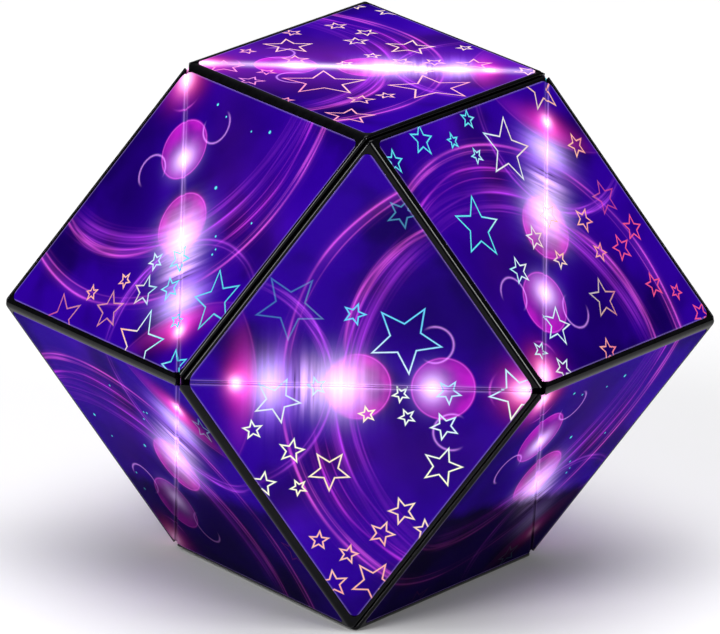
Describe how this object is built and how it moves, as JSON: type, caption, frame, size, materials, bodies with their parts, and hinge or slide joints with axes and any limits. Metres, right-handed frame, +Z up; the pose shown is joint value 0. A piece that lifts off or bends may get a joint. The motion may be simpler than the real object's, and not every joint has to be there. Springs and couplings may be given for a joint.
{
  "type": "folding magnetic puzzle",
  "caption": "Folding magnetic puzzle: a closed ring of hinged hollow tetrahedral modules with printed film faces, set up as a rhombic dodecahedron.",
  "frame": {"origin": "centre of the bounding box, on the plane of the rhombus the object rests on", "axes": "+Z up from the resting rhombus, +X along the longest diagonal from one four-sided point to the opposite one, and -Y out of the front rhombus"},
  "size_m": [0.1126, 0.0806, 0.0806],
  "materials": {
    "shell_plastic": "gloss black moulded plastic",
    "cover_plastic": "satin black moulded plastic",
    "printed_film": "glossy indigo printed film",
    "magnet_plating": "nickel plated",
    "fold_film": "glossy violet film fold"
  },
  "bodies": {
    "module_01": {"module_01_shell": "shell_plastic", "module_01_inner_cover": "cover_plastic", "module_01_films": "printed_film", "module_01_magnets": "magnet_plating", "fold_line_01": "fold_film"},
    "module_02": {"module_02_shell": "shell_plastic", "module_02_inner_cover": "cover_plastic", "module_02_films": "printed_film", "module_02_magnets": "magnet_plating", "fold_line_02": "fold_film"},
    "module_03": {"module_03_shell": "shell_plastic", "module_03_inner_cover": "cover_plastic", "module_03_films": "printed_film", "module_03_magnets": "magnet_plating", "fold_line_03": "fold_film"},
    "module_04": {"module_04_shell": "shell_plastic", "module_04_inner_cover": "cover_plastic", "module_04_films": "printed_film", "module_04_magnets": "magnet_plating", "fold_line_04": "fold_film"},
    "module_05": {"module_05_shell": "shell_plastic", "module_05_inner_cover": "cover_plastic", "module_05_films": "printed_film", "module_05_magnets": "magnet_plating", "fold_line_05": "fold_film"},
    "module_06": {"module_06_shell": "shell_plastic", "module_06_inner_cover": "cover_plastic", "module_06_films": "printed_film", "module_06_magnets": "magnet_plating", "fold_line_06": "fold_film"},
    "module_07": {"module_07_shell": "shell_plastic", "module_07_inner_cover": "cover_plastic", "module_07_films": "printed_film", "module_07_magnets": "magnet_plating", "fold_line_07": "fold_film"},
    "module_08": {"module_08_shell": "shell_plastic", "module_08_inner_cover": "cover_plastic", "module_08_films": "printed_film", "module_08_magnets": "magnet_plating", "fold_line_08": "fold_film"},
    "module_09": {"module_09_shell": "shell_plastic", "module_09_inner_cover": "cover_plastic", "module_09_films": "printed_film", "module_09_magnets": "magnet_plating", "fold_line_09": "fold_film"},
    "module_10": {"module_10_shell": "shell_plastic", "module_10_inner_cover": "cover_plastic", "module_10_films": "printed_film", "module_10_magnets": "magnet_plating", "fold_line_10": "fold_film"},
    "module_11": {"module_11_shell": "shell_plastic", "module_11_inner_cover": "cover_plastic", "module_11_films": "printed_film", "module_11_magnets": "magnet_plating", "fold_line_11": "fold_film"},
    "module_12": {"module_12_shell": "shell_plastic", "module_12_inner_cover": "cover_plastic", "module_12_films": "printed_film", "module_12_magnets": "magnet_plating", "fold_line_12": "fold_film"}
  },
  "joints": [
    {"name": "hinge_12", "type": "hinge", "parent": "module_01", "child": "module_12", "pos_m": [0.02825, -0.01998, 0.02033], "axis": [0, 0.7071, -0.7071], "range_deg": [0, 89]},
    {"name": "hinge_11", "type": "hinge", "parent": "module_12", "child": "module_11", "pos_m": [0.02825, -0.01998, 0.06028], "axis": [0, 0.7071, 0.7071], "range_deg": [0, 89]},
    {"name": "hinge_10", "type": "hinge", "parent": "module_11", "child": "module_10", "pos_m": [0, -0.03995, 0.0403], "axis": [-1, 0, 0], "range_deg": [0, 89]},
    {"name": "hinge_09", "type": "hinge", "parent": "module_10", "child": "module_09", "pos_m": [-0.02825, -0.01998, 0.02033], "axis": [0, -0.7071, 0.7071], "range_deg": [0, 89]},
    {"name": "hinge_08", "type": "hinge", "parent": "module_09", "child": "module_08", "pos_m": [-0.02825, -0.01998, 0.06028], "axis": [0, -0.7071, -0.7071], "range_deg": [0, 89]},
    {"name": "hinge_07", "type": "hinge", "parent": "module_08", "child": "module_07", "pos_m": [0, 0, 0.08025], "axis": [1, 0, 0], "range_deg": [0, 89]},
    {"name": "hinge_06", "type": "hinge", "parent": "module_07", "child": "module_06", "pos_m": [-0.02825, 0.01998, 0.06028], "axis": [0, 0.7071, -0.7071], "range_deg": [0, 89]},
    {"name": "hinge_05", "type": "hinge", "parent": "module_06", "child": "module_05", "pos_m": [-0.02825, 0.01998, 0.02033], "axis": [0, 0.7071, 0.7071], "range_deg": [0, 89]},
    {"name": "hinge_04", "type": "hinge", "parent": "module_05", "child": "module_04", "pos_m": [0, 0.03995, 0.0403], "axis": [-1, 0, 0], "range_deg": [0, 89]},
    {"name": "hinge_03", "type": "hinge", "parent": "module_04", "child": "module_03", "pos_m": [0.02825, 0.01998, 0.06028], "axis": [0, -0.7071, 0.7071], "range_deg": [0, 89]},
    {"name": "hinge_02", "type": "hinge", "parent": "module_03", "child": "module_02", "pos_m": [0.02825, 0.01998, 0.02033], "axis": [0, -0.7071, -0.7071], "range_deg": [0, 89]}
  ],
  "couplings": [
    {"joint": "hinge_09", "follows": "hinge_12", "ratio": 1},
    {"joint": "hinge_08", "follows": "hinge_11", "ratio": 1},
    {"joint": "hinge_07", "follows": "hinge_10", "ratio": 1},
    {"joint": "hinge_06", "follows": "hinge_12", "ratio": 1},
    {"joint": "hinge_05", "follows": "hinge_11", "ratio": 1},
    {"joint": "hinge_04", "follows": "hinge_10", "ratio": 1},
    {"joint": "hinge_03", "follows": "hinge_12", "ratio": 1},
    {"joint": "hinge_02", "follows": "hinge_11", "ratio": 1}
  ]
}
